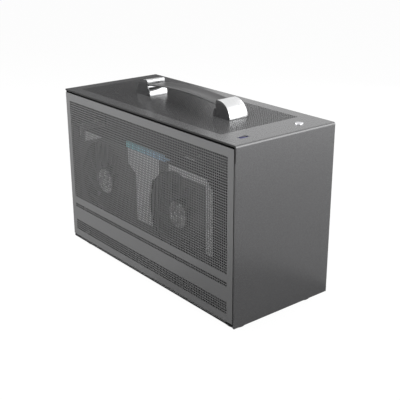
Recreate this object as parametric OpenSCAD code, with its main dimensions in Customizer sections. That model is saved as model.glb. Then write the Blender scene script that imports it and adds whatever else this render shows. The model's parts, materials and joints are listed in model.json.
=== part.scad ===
// Portable desktop computer case: folded front and top sheet, two pull-off mesh sides,
// a strap handle on chromed feet, and a graphics card standing behind the near mesh.

/* [Case body] */
// Length of the body, rear face to front face
case_l = 342; // [335:1:420]
// Width of the body, near mesh side to far mesh side
case_w = 147; // [140:1:190]
// Height of the body, without feet and handle
case_h = 210; // [205:1:260]
// Thickness of the folded front and top sheet
shell_t = 2; // [1.2:0.1:3]
// Inside radius of the folds in the sheets
bend_in = 0.5; // [0.3:0.1:1.5]
// Length of the hidden lips folded from the front and top sheet
shell_lip = 12; // [9:0.5:14]
// Thickness of the base pan
pan_t = 1.5; // [1:0.1:2.5]
// Thickness of the inner steel sheets
steel_t = 1.2; // [0.8:0.1:1.6]

/* [Mesh sides] */
// Thickness of the side panels
panel_t = 0.8; // [0.6:0.1:2]
// Depth of the flanges folded in along a side panel's edges
panel_flange = 7; // [4:0.5:8]
// Shadow gap between a side panel and the top sheet
seam_top = 2.4; // [1:0.1:4]
// Seam between a side panel and the front sheet
seam_front = 1.2; // [0.5:0.1:3]
// Gap between a side panel and the underside of the body
seam_base = 2.3; // [1.8:0.1:4]
// Setback of a side panel's rear edge from the rear face
seam_rear = 0.5; // [0.2:0.1:1]
// Spacing of the mesh openings
mesh_pitch = 12.2; // [9:0.1:20]
// Bar left between two mesh openings
mesh_web = 3.6; // [2:0.1:6]
// Plain border at the rear of the mesh fields
mesh_rear = 10; // [8:0.5:20]
// Plain border at the front of the mesh fields
mesh_front = 13.5; // [12:0.5:25]
// Height of the bottom edge of the main field
main_low = 62.5; // [60:0.5:90]
// Plain border between the main field and the top of the body
main_drop = 15; // [15:0.5:30]
// Height of the bottom edge of the thin mesh row
row_low = 46.3; // [40:0.1:48]
// Height of the thin mesh row
row_h = 6.7; // [4:0.1:8]
// Height of the bottom edge of the lower mesh band
band_low = 13.75; // [13.5:0.25:18]
// Height of the lower mesh band
band_h = 14.25; // [10:0.25:18]

/* [Top mesh] */
// Plain border of the top field at the rear
top_rear = 16; // [8:0.5:30]
// Plain border of the top field at the front, where the port and the button are
top_front = 43; // [38:0.5:60]
// Plain border of the top field along each side
top_side = 16; // [15:0.5:30]

/* [Side panel studs] */
// Distance of the studs from the rear face and from the front lip
stud_end = 22; // [20:0.5:40]
// Distance of the upper studs below the top of the body
stud_drop = 10.5; // [10:0.1:12]
// Height of the lower studs above the underside of the body
stud_low = 9; // [9:0.1:9.5]
// Diameter of a stud's ball
ball_d = 6.2; // [4:0.1:6.6]
// Clearance round a ball in its socket
ball_gap = 0.3; // [0.2:0.05:0.5]
// Distance of the rail webs behind the outer face of a side panel
rail_inset = 11; // [10.2:0.1:12]
// Height of a rail's web
rail_h = 18; // [16.5:0.5:24]

/* [Handle] */
// Length of the handle over both feet
handle_l = 183; // [120:1:200]
// Width of the handle's feet
handle_w = 27; // [22:0.5:34]
// Radius of the round outer face of a handle foot, which is also its height
handle_r = 20; // [18:0.5:26]
// Length of the straight part of a handle foot before the round face
handle_flat = 4; // [3:0.5:10]
// Thickness of the chromed caps over the feet
chrome_t = 1.4; // [0.8:0.1:2]
// Width of the strap
strap_w = 25; // [18:0.5:26]
// Thickness of the strap
strap_t = 2.6; // [1.6:0.1:3]
// Height of the strap's underside where it enters the feet
strap_z = 12.4; // [10:0.1:13]
// Rise of the strap between its ends and its middle
strap_rise = 4.6; // [2:0.1:8]
// Length of the strap held inside each foot
strap_grip = 10; // [6:0.5:12]
// Distance of a foot's two screws from the handle's centre line
handle_screw_y = 7.5; // [6.5:0.1:8]

/* [Feet] */
// Height of the rubber feet
foot_h = 9; // [6:0.5:14]
// Diameter of a foot where it meets the base
foot_d = 26; // [20:0.5:32]
// Taper of a foot's radius down to the floor
foot_taper = 1.5; // [0.5:0.1:3]
// Distance of the foot centres from the front and rear faces
foot_end = 21.5; // [20:0.5:40]
// Distance of the foot centres from the side faces
foot_side = 21.5; // [20:0.5:34]

/* [Power button and port] */
// Distance of the button and the port behind the front face
control_x = 21; // [20:0.5:22]
// Distance of the port from the near side
port_y = 28.6; // [27:0.1:34]
// Length of the port's metal shell
port_l = 14.4; // [13.5:0.1:15]
// Width of the port's metal shell
port_w = 6.9; // [6.5:0.1:7.5]
// Distance of the button from the far side
button_far = 36.5; // [35:0.5:52]
// Diameter of the button
button_d = 9.5; // [8:0.1:11]
// Height of the button above the top sheet
button_rise = 1.2; // [1:0.1:2]
// Travel of the button
button_travel = 0.8; // [0.4:0.1:1]

/* [Board tray] */
// Distance of the board tray from the near face
tray_y = 60; // [57:0.5:62]
// Height of the board standoffs
standoff_h = 6.5; // [5:0.5:10]
// Standoff spacing along the case
board_hole_x = 154.94; // [154.94:0.01:154.94]
// Standoff spacing up the case
board_hole_z = 157.48; // [157.48:0.01:157.48]
// Height of the lowest standoffs above the underside
board_low = 26; // [24:0.5:30]
// Distance of the rear standoffs from the rear face
board_rear = 13.2; // [12:0.1:15]

/* [Power supply bracket] */
// Distance of the bracket's mounting face from the rear face
supply_x = 215; // [205:0.5:225]
// Height of the power supply's centre above the underside
supply_z = 103; // [95:0.5:110]
// Screw spacing across the power supply
supply_hole_y = 51.5; // [51.5:0.1:51.5]
// Screw spacing up the power supply
supply_hole_z = 113; // [113:0.1:113]

/* [Graphics card] */
// Length of the card's shroud
card_l = 281; // [276:1:290]
// Height of the card's shroud
card_h = 116.5; // [112:0.5:125]
// Depth of the card's shroud
shroud_d = 30; // [28:0.5:31]
// Wall of the shroud
shroud_t = 2; // [1.5:0.1:2.5]
// Distance of the card's front behind the near face
card_y = 8; // [6:0.5:9]
// Height of the card's lower edge above the underside
card_low = 41; // [41:0.5:45]
// Depth of the slot recess in the rear panel
slot_recess = 12; // [11:0.5:13]
// Diameter of the card's fans
fan_d = 103; // [90:0.5:105]
// Distance of the rear fan's centre from the rear face
fan_rear = 74.4; // [72:0.1:80]
// Distance between the centres of the two fans
fan_spacing = 155; // [140:0.5:157]
// Number of blades on a fan
blades = 9; // [5:1:11]
// Number of fins in the card's heatsink
fins = 28; // [12:1:40]
// Length of the lit strip on the card's top edge
strip_l = 79; // [40:1:110]

/* [Hidden] */
$fn = 64;
// Clearances: curved faces on moving parts, slip fits and laid-in pieces
run_gap = 0.3;
slip = 0.15;
shaft_gap = 0.05;
bend_out = bend_in + shell_t;

// Side panel outline
panel_x0 = seam_rear;
panel_x1 = case_l - shell_t - seam_front;
panel_z0 = seam_base;
panel_z1 = case_h - shell_t - seam_top;
panel_depth = panel_t + panel_flange;
rear_inset = panel_t + run_gap;

// Rails and studs
inner_z1 = case_h - shell_t;
rail_x0 = 14;
rail_x1 = case_l - shell_t - shell_lip - 1;
stud_xs = [stud_end, case_l - stud_end];
stud_zs = [stud_low, case_h - stud_drop];
stud_base_d = 7.6;
stud_base_t = 1.2;
stem_d = 3.6;
ball_y = rail_inset + 3;
socket_d = ball_d + 2 * ball_gap + 2;
socket_flange_d = 11.6;
socket_flange_t = 1.2;
socket_l = ball_y - rail_inset + ball_d / 2 + ball_gap + 1;

// Handle
handle_x0 = (case_l - handle_l) / 2;
handle_foot_l = handle_flat + handle_r;
handle_y0 = (case_w - handle_w) / 2;
strap_span = handle_l - 2 * handle_foot_l;
strap_r = (strap_span * strap_span / 4 + strap_rise * strap_rise) / (2 * strap_rise);
handle_screw_x = handle_foot_l / 2;
handle_screw_r = 2;
handle_screw_h = 8.5;
handle_head_r = 3.5;
handle_head_h = 2.2;
cap_corner = 2.5;

// Button and port board under the top sheet
control_cx = case_l - control_x;
button_y = case_w - button_far;
board_t = 1.6;
control_board_z = inner_z1 - 14;
guide_r = button_d / 2 + 1.25 + run_gap;
guide_t = 1.6;
guide_h = 6;
plunger_r = 1.7;
plunger_l = 4;
switch_h = 3.5;
post_ys = [port_y + 18, button_y - 18];
control_board_l = 22;

// Base and rear
foot_xs = [foot_end, case_l - foot_end];
foot_ys = [foot_side, case_w - foot_side];
base_screw_xs = [6, case_l - shell_t - shell_lip / 2];
base_screw_ys = [case_w / 2 - 32, case_w / 2 + 32];
rear_screw_ys = [18, case_w - 18];
rear_screw_z = inner_z1 - shell_lip / 2;
screw_r = 1.5;
screw_hole_r = 1.7;
head_r = 3;
head_h = 1.8;
post_flange = 11;

// Mains inlet on the rear panel
inlet_y = 33;
inlet_z = 21.5;
inlet_w = 27;
inlet_h = 19.5;
inlet_screw = 20;

// Board window, tray openings and power supply bracket
port_window_y0 = tray_y + steel_t + standoff_h - 0.6;
port_window_w = 44.45;
port_window_h = 158.75;
board_mid_z = board_low + board_hole_z / 2;
tray_x1 = case_l - 12;
cooler_window = 80;
cable_window_x0 = board_rear + board_hole_x + 9;
cable_window_w = 20;
cable_window_h = 90;
ribbon_window_h = 9;
supply_w = 63.5;
supply_h = 125;
supply_y = tray_y + steel_t + supply_w / 2 + 1.5;
supply_flange = 12;

// Graphics card
bracket_t = 0.9;
bracket_x = steel_t + slot_recess;
card_x0 = bracket_x + bracket_t + 0.6;
card_x1 = card_x0 + card_l;
card_z1 = card_low + card_h;
fan_xs = [fan_rear, fan_rear + fan_spacing];
fan_z = card_low + card_h / 2 - 0.2;
fan_hole_r = fan_d / 2 + 1;
hub_r = 18;
hub_l = 11;
blade_h = hub_l - 1;
blade_t = 1.3;
blade_lean = 24;
blade_twist = 34;
fan_y = card_y + 1.6;
cap_r = 16;
cap_t = 0.8;
shaft_r = 1.5;
shroud_corner = 12;
pcb_y = card_y + shroud_d + 8;
fin_y0 = fan_y + hub_l + 3.4;
fin_z0 = card_low + shroud_t + run_gap;
fin_z1 = card_z1 - shroud_t - run_gap;
fin_t = 1.2;
pcb_x1 = card_x1 - 41;
pcb_z0 = card_low + 3;
pcb_z1 = card_z1 - 6;
tab_x0 = card_x0 + 47;
tab_l = 85;
tab_drop = 10.7;
riser_z1 = pcb_z0 - tab_drop - 0.3;
slot_floor = 5;
slot_w = 7.5;
slot_h = 12;
backplate_y = pcb_y + board_t + 0.8;
card_screw_xs = [tab_x0 + 60, tab_x0 + 110];
card_screw_zs = [fan_z - 22, fan_z + 22];
strip_x0 = 125;
strip_y0 = card_y + 2;
strip_w = 10;
bracket_y1 = pcb_y + 3.8;
bracket_w = 39;
slot_pitch = 20.3;
bracket_z0 = card_low - 3;
bracket_z1 = card_z1 + 1.5;
socket_pitch = 27;

// Shapes are drawn from the rear, near, lower corner of the body
module in_case() {
    translate([-case_l / 2, -case_w / 2, foot_h]) children();
}

// Far side copy of a near side shape
module on_far_side() {
    translate([0, case_w, 0]) mirror([0, 1, 0]) children();
}

// Profile drawn in X and Z, run along Y
module along_y(y0, len) {
    translate([0, y0 + len, 0]) rotate([90, 0, 0]) linear_extrude(len) children();
}

// Profile drawn in Y and Z, run along X
module along_x(x0, len) {
    translate([x0, 0, 0]) rotate([90, 0, 90]) linear_extrude(len) children();
}

module box(x0, x1, y0, y1, z0, z1) {
    translate([x0, y0, z0]) cube([x1 - x0, y1 - y0, z1 - z0]);
}

module rod_x(x0, x1, y, z, r) {
    translate([x0, y, z]) rotate([0, 90, 0]) cylinder(r = r, h = x1 - x0);
}

module rod_y(y0, y1, x, z, r) {
    translate([x, y0, z]) rotate([-90, 0, 0]) cylinder(r = r, h = y1 - y0);
}

module rod_z(z0, z1, x, y, r) {
    translate([x, y, z0]) cylinder(r = r, h = z1 - z0);
}

// Rectangle given by its edges
module rect(x0, x1, y0, y1) {
    translate([x0, y0]) square([x1 - x0, y1 - y0]);
}

// Quarter ring of a fold: a is the angle where the quarter starts
module fold(x, y, r_in, t, a) {
    translate([x, y]) rotate(a) intersection() {
        difference() {
            circle(r = r_in + t);
            circle(r = r_in);
        }
        square(r_in + t);
    }
}

// The bracket's two screws stand one slot pitch apart
function bracket_screw_y(i) = bracket_y1 - 9 - i * slot_pitch;

// How many openings fit a span, and how wide each is when they fill it
function fit_count(span) = max(1, round((span + mesh_web) / mesh_pitch));
function fit_width(span, n) = (span - (n - 1) * mesh_web) / n;

// Square openings that fill a field, in as many rows as are asked for
module mesh_field(x0, x1, y0, y1, rows) {
    cols = fit_count(x1 - x0);
    w = fit_width(x1 - x0, cols);
    h = fit_width(y1 - y0, rows);
    for (i = [0:cols - 1], j = [0:rows - 1])
        translate([x0 + i * (w + mesh_web), y0 + j * (h + mesh_web)]) square([w, h]);
}

// Folded front and top sheet, with lips turned in at the rear and at the base
module shell_profile() {
    rect(0, case_l - bend_out, inner_z1, case_h);
    rect(case_l - shell_t, case_l, bend_out, case_h - bend_out);
    fold(case_l - bend_out, case_h - bend_out, bend_in, shell_t, 0);
    rect(case_l - shell_t - shell_lip, case_l - bend_out, pan_t, pan_t + shell_t);
    fold(case_l - bend_out, pan_t + bend_out, bend_in, shell_t, -90);
    rect(case_l - shell_t, case_l, 0, pan_t + bend_out);
}

module top_openings() {
    rows = fit_count(case_w - 2 * top_side);
    difference() {
        mesh_field(top_rear, case_l - top_front, top_side, case_w - top_side, rows);
        for (x = [handle_x0, case_l - handle_x0 - handle_foot_l])
            rect(x + 1, x + handle_foot_l - 1, handle_y0 + 1, case_w - handle_y0 - 1);
    }
}

// Repeated at the four screws that hold the handle from inside
module at_handle_screws() {
    for (x = [-1, 1], y = [-1, 1])
        translate([case_l / 2 + x * (handle_l / 2 - handle_screw_x), case_w / 2 + y * handle_screw_y, 0])
            children();
}

module front_top_shell() {
    color([0.36, 0.36, 0.37]) in_case() difference() {
        union() {
            along_y(0, case_w) shell_profile();
            box(steel_t, steel_t + shell_t, 4, case_w - 4, inner_z1 - shell_lip, case_h - shell_t / 2);
        }
        translate([0, 0, inner_z1 - 1]) linear_extrude(shell_t + 2) top_openings();
        box(control_cx - port_w / 2 - slip, control_cx + port_w / 2 + slip,
            port_y - port_l / 2 - slip, port_y + port_l / 2 + slip, inner_z1 - 1, case_h + 1);
        rod_z(inner_z1 - 1, case_h + 1, control_cx, button_y, button_d / 2 + run_gap);
        at_handle_screws() rod_z(inner_z1 - 1, case_h + 1, 0, 0, handle_screw_r + slip);
        for (y = base_screw_ys)
            rod_z(pan_t - 1, pan_t + shell_t + 1, base_screw_xs[1], y, screw_r + slip);
        for (y = rear_screw_ys)
            rod_x(0, steel_t + shell_t + 1, y, rear_screw_z, screw_r + slip);
        // The lips stop short of the rails and the side panels
        for (y = [-1, case_w - 15])
            box(case_l - shell_t - shell_lip - 1, case_l - shell_t - bend_in, y, y + 16,
                pan_t - 0.5, pan_t + shell_t + bend_in);
    }
}

// Flat pan under the body, with intake slots below the board side
module base_pan() {
    slot_l = 46;
    color([0.09, 0.09, 0.095]) in_case() difference() {
        box(0, case_l - shell_t - slip, 1, case_w - 1, 0, pan_t);
        for (i = [0:8], x = [70, case_l - 70 - slot_l])
            box(x, x + slot_l, tray_y + 16 + i * 6, tray_y + 19 + i * 6, -1, pan_t + 1);
        for (x = foot_xs, y = foot_ys)
            rod_z(-1, pan_t + 1, x, y, screw_hole_r);
        for (x = base_screw_xs, y = base_screw_ys)
            rod_z(-1, pan_t + 1, x, y, screw_hole_r);
    }
}

// Frame welded round the slot window, which carries the card's bracket and its two screws
module slot_frame() {
    y0 = bracket_y1 - bracket_w - 1;
    y1 = bracket_y1 + 1;
    color([0.1, 0.1, 0.105]) in_case() difference() {
        union() {
            for (y = [y0 - steel_t, y1])
                box(steel_t, bracket_x, y, y + steel_t, bracket_z0 - 1 - steel_t, bracket_z1);
            box(steel_t, bracket_x, y0, y1, bracket_z0 - 1 - steel_t, bracket_z0 - 1);
            box(steel_t, bracket_x - slip, y0, y1, bracket_z1 - steel_t, bracket_z1);
        }
        for (i = [0, 1])
            rod_z(bracket_z1 - steel_t - 1, bracket_z1 + 1, steel_t + 6, bracket_screw_y(i), screw_r + slip);
    }
}

module rear_panel() {
    z0 = pan_t;
    y0 = rear_inset;
    y1 = case_w - rear_inset;
    color([0.1, 0.1, 0.105]) in_case() difference() {
        union() {
            box(0, steel_t, y0, y1, z0, inner_z1);
            for (y = [y0, y1 - steel_t])
                box(steel_t, post_flange, y, y + steel_t, z0, panel_z1);
            box(steel_t, post_flange, y0 + 14, y1 - 14, z0, z0 + steel_t);
        }
        // Slot window, board port window, inlet and vents
        box(-1, steel_t + 1, bracket_y1 - bracket_w - 1, bracket_y1 + 1,
            bracket_z0 - 1, bracket_z1 - steel_t);
        box(-1, steel_t + 1, port_window_y0, port_window_y0 + port_window_w,
            board_mid_z - port_window_h / 2, board_mid_z + port_window_h / 2);
        box(-1, steel_t + 1, inlet_y - inlet_w / 2 - slip, inlet_y + inlet_w / 2 + slip,
            inlet_z - inlet_h / 2 - slip, inlet_z + inlet_h / 2 + slip);
        for (s = [-1, 1])
            rod_x(-1, steel_t + 1, inlet_y + s * inlet_screw, inlet_z, screw_r + slip);
        for (i = [0:10])
            box(-1, steel_t + 1, port_window_y0 + port_window_w + 7, y1 - 6,
                board_mid_z - 62 + 12 * i, board_mid_z - 57 + 12 * i);
        for (y = rear_screw_ys)
            rod_x(-1, steel_t + 1, y, rear_screw_z, screw_r + slip);
        for (y = base_screw_ys)
            rod_z(0, z0 + steel_t + 1, base_screw_xs[0], y, screw_r + slip);
    }
}

// Upright tray between the card and the board, folded over at its foot and its head
module board_tray() {
    y1 = tray_y + steel_t;
    color([0.1, 0.1, 0.105]) in_case() difference() {
        union() {
            box(steel_t, tray_x1, tray_y, y1, pan_t, inner_z1);
            box(20, tray_x1, y1, y1 + 10, pan_t, pan_t + steel_t);
            box(20, tray_x1 - 20, tray_y - 9, tray_y, inner_z1 - steel_t, inner_z1);
            box(steel_t, 2 * steel_t, y1, y1 + 5, 20, inner_z1 - shell_lip - 2);
        }
        // Corners cut clear of the lips of the front and top sheet and of the rear panel's foot
        box(0, steel_t + shell_t + 1, tray_y - 1, y1 + 6, inner_z1 - shell_lip - 1, case_h);
        box(0, post_flange + 1, tray_y - 1, y1 + 6, 0, pan_t + steel_t + 1);
        box(case_l - shell_t - shell_lip - 1, case_l, tray_y - 1, y1 + 12, 0, pan_t + shell_t + 1);
        box(control_cx - control_board_l / 2 - 1, case_l, tray_y - 12, y1 + 1,
            control_board_z - board_t - head_h - 2, case_h);
        at_handle_screws() rod_z(inner_z1 - handle_head_h - 1, case_h, 0, 0, handle_head_r + 1);
        // Windows for the cooler's back, the cables and the riser's ribbon
        box(board_rear + (board_hole_x - cooler_window) / 2, board_rear + (board_hole_x + cooler_window) / 2,
            tray_y - 1, y1 + 1, board_mid_z - cooler_window / 2, board_mid_z + cooler_window / 2);
        box(cable_window_x0, cable_window_x0 + cable_window_w, tray_y - 1, y1 + 1,
            supply_z - cable_window_h / 2, supply_z + cable_window_h / 2);
        box(tab_x0, tab_x0 + tab_l, tray_y - 1, y1 + 1, 8, 8 + ribbon_window_h);
        for (x = [0, 1], z = [0, 1])
            rod_y(tray_y - 1, y1 + 1, board_rear + x * board_hole_x, board_low + z * board_hole_z,
                screw_hole_r);
        for (z = [-1, 1])
            rod_y(tray_y - 1, y1 + 1, supply_x - steel_t - supply_flange / 2, supply_z + z * 52,
                screw_hole_r);
    }
}

// Four hexagonal standoffs with threaded holes, their studs through the tray
module board_standoffs() {
    y1 = tray_y + steel_t;
    color([0.72, 0.56, 0.3]) in_case()
        for (x = [0, 1], z = [0, 1])
            translate([board_rear + x * board_hole_x, 0, board_low + z * board_hole_z]) difference() {
                union() {
                    translate([0, y1, 0]) rotate([-90, 0, 0]) cylinder(r = 3.1, h = standoff_h, $fn = 6);
                    rod_y(tray_y - 2, y1 + 1, 0, 0, screw_r);
                }
                rod_y(y1 + 0.5, y1 + standoff_h + 1, 0, 0, 1.25);
            }
}

// Angle bracket that takes the rear face of a power supply
module supply_bracket() {
    y0 = tray_y + steel_t;
    y1 = supply_y + supply_w / 2;
    color([0.1, 0.1, 0.105]) in_case() difference() {
        union() {
            box(supply_x - steel_t, supply_x, y0, y1,
                supply_z - supply_h / 2 - 2, supply_z + supply_h / 2 + 2);
            box(supply_x - steel_t - supply_flange, supply_x - steel_t, y0, y0 + steel_t,
                supply_z - supply_h / 2 + 4, supply_z + supply_h / 2 - 4);
        }
        box(supply_x - steel_t - 1, supply_x + 1, supply_y - supply_w / 2 + 11, y1 - 11,
            supply_z - supply_h / 2 + 14, supply_z + supply_h / 2 - 14);
        for (y = [-0.5, 0.5], z = [-0.5, 0.5])
            rod_x(supply_x - steel_t - 1, supply_x + 1, supply_y + y * supply_hole_y,
                supply_z + z * supply_hole_z, 1.9);
        for (z = [-1, 1])
            rod_y(y0 - 1, y0 + steel_t + 1, supply_x - steel_t - supply_flange / 2, supply_z + z * 52,
                screw_r + slip);
    }
}

// One side panel: mesh plate with its edges folded in at the top, the base and the front
module side_panel() {
    field_x1 = case_l - mesh_front;
    main_top = case_h - main_drop;
    difference() {
        box(panel_x0, panel_x1, 0, panel_t, panel_z0, panel_z1);
        along_y(-1, panel_t + 2) {
            mesh_field(mesh_rear, field_x1, main_low, main_top, fit_count(main_top - main_low));
            mesh_field(mesh_rear, field_x1, row_low, row_low + row_h, 1);
            mesh_field(mesh_rear, field_x1, band_low, band_low + band_h, 2);
        }
    }
    for (z = [panel_z0, panel_z1 - panel_t])
        box(post_flange + 4, panel_x1 - 12, panel_t, panel_depth, z, z + panel_t);
    box(panel_x1 - panel_t, panel_x1, panel_t, panel_depth, panel_z0 + 10, panel_z1 - 10);
}

module side_panel_near() {
    color([0.45, 0.45, 0.46]) in_case() side_panel();
}

module side_panel_far() {
    color([0.45, 0.45, 0.46]) in_case() on_far_side() side_panel();
}

// Ball studs riveted to the inside of a side panel
module panel_studs() {
    for (x = stud_xs, z = stud_zs)
        translate([x, panel_t, z]) rotate([-90, 0, 0]) rotate_extrude() intersection() {
            union() {
                square([stud_base_d / 2, stud_base_t]);
                square([stem_d / 2, ball_y - panel_t]);
                translate([0, ball_y - panel_t]) circle(d = ball_d);
            }
            square([stud_base_d, 2 * ball_y]);
        }
}

module panel_studs_near() {
    color([0.7, 0.7, 0.7]) in_case() panel_studs();
}

module panel_studs_far() {
    color([0.7, 0.7, 0.7]) in_case() on_far_side() panel_studs();
}

// Nylon sockets pushed through the rails, which grip the studs
module panel_sockets() {
    for (x = stud_xs, z = stud_zs)
        translate([x, rail_inset, z]) rotate([-90, 0, 0]) difference() {
            union() {
                translate([0, 0, -socket_flange_t]) cylinder(d = socket_flange_d, h = socket_flange_t);
                cylinder(d = socket_d, h = socket_l);
            }
            translate([0, 0, -socket_flange_t - 1])
                cylinder(d = ball_d + 2 * ball_gap, h = socket_l + socket_flange_t);
        }
}

module panel_sockets_near() {
    color([0.12, 0.12, 0.12]) in_case() panel_sockets();
}

module panel_sockets_far() {
    color([0.12, 0.12, 0.12]) in_case() on_far_side() panel_sockets();
}

// Folded angle that carries the sockets: up under the top sheet, or down on the pan
module rail(top) {
    z0 = top ? inner_z1 - rail_h : pan_t;
    flange_z = top ? inner_z1 - steel_t : pan_t;
    flange_y = top ? rail_inset - 8 : rail_inset + steel_t;
    difference() {
        union() {
            box(rail_x0, rail_x1, rail_inset, rail_inset + steel_t, z0, z0 + rail_h);
            box(rail_x0, rail_x1, flange_y, flange_y + 8, flange_z, flange_z + steel_t);
        }
        for (x = stud_xs)
            rod_y(rail_inset - 1, rail_inset + steel_t + 1, x, top ? stud_zs[1] : stud_zs[0],
                socket_d / 2 + slip);
        // Clear of the foot screws
        if (!top)
            for (x = foot_xs)
                rod_z(pan_t - 1, pan_t + steel_t + 1, x, foot_side, 5);
    }
}

module top_rail_near() {
    color([0.1, 0.1, 0.105]) in_case() rail(true);
}

module top_rail_far() {
    color([0.1, 0.1, 0.105]) in_case() on_far_side() rail(true);
}

module base_rail_near() {
    color([0.1, 0.1, 0.105]) in_case() rail(false);
}

module base_rail_far() {
    color([0.1, 0.1, 0.105]) in_case() on_far_side() rail(false);
}

// Outline of a handle foot, its inner face at x = 0 and its round face outwards
module handle_foot_outline(inset) {
    intersection() {
        translate([handle_flat, 0]) circle(r = handle_r - inset);
        rect(handle_flat, handle_foot_l, 0, handle_r);
    }
    rect(inset + cap_corner, handle_flat + 0.01, 0, handle_r - inset);
    rect(inset, inset + cap_corner + 0.01, 0, handle_r - inset - cap_corner);
    translate([inset + cap_corner, handle_r - inset - cap_corner]) circle(r = cap_corner);
}

// The strap's slot through a foot, straight along the strap's own slope at its ends
module strap_band(clear) {
    translate([handle_l / 2, strap_z + strap_rise - strap_r]) difference() {
        circle(r = strap_r + strap_t + clear, $fn = 360);
        circle(r = strap_r - clear, $fn = 360);
    }
}

// Placed at the rear end of the handle, on the top sheet
module at_handle_end(front) {
    translate([front ? case_l / 2 + handle_l / 2 : case_l / 2 - handle_l / 2, 0, case_h])
        mirror([front ? 1 : 0, 0, 0]) children();
}

module foot_section(inset) {
    translate([handle_foot_l, 0]) mirror([1, 0]) handle_foot_outline(inset);
}

module handle_foot() {
    difference() {
        along_y(handle_y0, handle_w) foot_section(chrome_t);
        along_y((case_w - strap_w) / 2 - slip, strap_w + 2 * slip) intersection() {
            strap_band(slip);
            rect(handle_foot_l - strap_grip - slip, handle_foot_l + 1, 0, handle_r);
        }
        for (y = [-1, 1])
            rod_z(-1, handle_screw_h + 0.5, handle_screw_x, case_w / 2 + y * handle_screw_y, handle_screw_r);
    }
}

module handle_cap() {
    difference() {
        along_y(handle_y0, handle_w) difference() {
            foot_section(0);
            foot_section(chrome_t);
        }
        along_y((case_w - strap_w) / 2 - slip, strap_w + 2 * slip) intersection() {
            strap_band(slip);
            rect(handle_foot_l - chrome_t - 2, handle_foot_l + 1, 0, handle_r);
        }
    }
}

module handle_foot_rear() {
    color([0.05, 0.05, 0.055]) in_case() at_handle_end(false) handle_foot();
}

module handle_foot_front() {
    color([0.05, 0.05, 0.055]) in_case() at_handle_end(true) handle_foot();
}

module handle_cap_rear() {
    color([0.85, 0.86, 0.88]) in_case() at_handle_end(false) handle_cap();
}

module handle_cap_front() {
    color([0.85, 0.86, 0.88]) in_case() at_handle_end(true) handle_cap();
}

// Strap bowed up between the feet
module handle_strap() {
    color([0.08, 0.08, 0.085]) in_case() at_handle_end(false)
        along_y((case_w - strap_w) / 2, strap_w) intersection() {
            strap_band(0);
            rect(handle_foot_l - strap_grip, handle_l - handle_foot_l + strap_grip, 0, 2 * handle_r);
        }
}

module handle_screws() {
    color([0.6, 0.6, 0.6]) in_case() at_handle_screws() {
        rod_z(inner_z1, case_h + handle_screw_h, 0, 0, handle_screw_r - shaft_gap);
        rod_z(inner_z1 - handle_head_h, inner_z1, 0, 0, handle_head_r);
    }
}

// Rubber foot with a tread rim and a counterbore for its screw
module rubber_foot(i, j) {
    color([0.06, 0.06, 0.06]) translate([foot_xs[i] - case_l / 2, foot_ys[j] - case_w / 2, 0])
        rotate_extrude() polygon([
            [screw_hole_r, 3.2], [4, 3.2], [4, 1], [foot_d / 2 - foot_taper - 4, 1],
            [foot_d / 2 - foot_taper - 4, 0], [foot_d / 2 - foot_taper - 0.8, 0],
            [foot_d / 2 - foot_taper, 0.8], [foot_d / 2, foot_h - 1.6], [foot_d / 2, foot_h],
            [screw_hole_r, foot_h]
        ]);
}

module foot_rear_near() {
    rubber_foot(0, 0);
}

module foot_rear_far() {
    rubber_foot(0, 1);
}

module foot_front_near() {
    rubber_foot(1, 0);
}

module foot_front_far() {
    rubber_foot(1, 1);
}

module foot_screws() {
    color([0.6, 0.6, 0.6]) in_case()
        for (x = foot_xs, y = foot_ys) {
            rod_z(3.2 - foot_h, pan_t + 2, x, y, screw_r);
            rod_z(1.4 - foot_h, 3.2 - foot_h, x, y, head_r);
        }
}

// Button with a retaining skirt under the sheet and a stem down to the switch
module power_button() {
    skirt_z = inner_z1 - guide_h + guide_t + button_travel + 1;
    color([0.78, 0.78, 0.8]) in_case() {
        rod_z(skirt_z, case_h + button_rise - 0.4, control_cx, button_y, button_d / 2);
        translate([control_cx, button_y, case_h + button_rise - 0.4])
            cylinder(r1 = button_d / 2, r2 = button_d / 2 - 0.4, h = 0.4);
        rod_z(skirt_z, inner_z1, control_cx, button_y, guide_r - run_gap);
        rod_z(control_board_z + switch_h + 2, skirt_z, control_cx, button_y, 2);
    }
}

module switch_plunger() {
    z1 = control_board_z + switch_h + 2;
    color([0.15, 0.15, 0.15]) in_case() rod_z(z1 - plunger_l, z1, control_cx, button_y, plunger_r);
}

// Guide cup under the sheet, closed round the button's stem
module button_guide() {
    color([0.12, 0.12, 0.12]) in_case() difference() {
        rod_z(inner_z1 - guide_h, inner_z1, control_cx, button_y, guide_r + guide_t);
        rod_z(inner_z1 - guide_h + guide_t, inner_z1 + 1, control_cx, button_y, guide_r);
        rod_z(inner_z1 - guide_h - 1, inner_z1, control_cx, button_y, 2 + run_gap);
    }
}

module power_switch() {
    color([0.2, 0.2, 0.2]) in_case() difference() {
        box(control_cx - 4, control_cx + 4, button_y - 4, button_y + 4,
            control_board_z, control_board_z + switch_h);
        rod_z(control_board_z + 0.4, control_board_z + switch_h + 1, control_cx, button_y,
            plunger_r + run_gap);
    }
}

module control_board() {
    color([0.05, 0.2, 0.12]) in_case() difference() {
        box(control_cx - control_board_l / 2, control_cx + control_board_l / 2, port_y - 10, button_y + 10,
            control_board_z - board_t, control_board_z);
        for (y = post_ys)
            rod_z(control_board_z - board_t - 1, control_board_z + 1, control_cx, y, screw_hole_r);
    }
}

// Hexagonal posts that hang the control board under the sheet, with their screws
module control_posts() {
    color([0.72, 0.56, 0.3]) in_case()
        for (y = post_ys) {
            translate([control_cx, y, control_board_z])
                cylinder(r = 3, h = inner_z1 - control_board_z, $fn = 6);
            rod_z(control_board_z - board_t, control_board_z, control_cx, y, screw_r);
            rod_z(control_board_z - board_t - head_h, control_board_z - board_t, control_cx, y, head_r);
        }
}

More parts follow.
